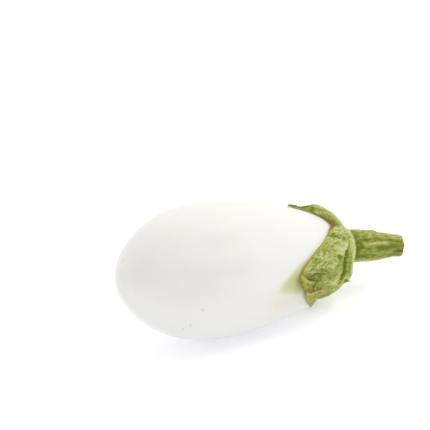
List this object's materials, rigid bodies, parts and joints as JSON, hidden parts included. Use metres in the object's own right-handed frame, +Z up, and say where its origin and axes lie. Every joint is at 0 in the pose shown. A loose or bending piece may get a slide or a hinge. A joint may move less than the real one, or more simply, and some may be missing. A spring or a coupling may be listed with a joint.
{
  "type": "white eggplant",
  "caption": "White egg-shaped eggplant lying on its side, with a spiny green calyx of loose, curling sepals and a ribbed woody stem.",
  "frame": {"origin": "middle of the small flat spot on the fruit's underside that it rests on", "axes": "+Z up from the surface it rests on, +X level along the fruit toward the stem, +Y to the left of that"},
  "size_m": [0.1588, 0.0695, 0.0693],
  "materials": {
    "skin": "smooth, waxy white fruit skin with a soft gloss",
    "calyx": "wrinkled, leathery light green leaf tissue with brown dried edges"
  },
  "bodies": {
    "root": {"fruit": "skin", "calyx_and_stem": "calyx"}
  },
  "joints": []
}
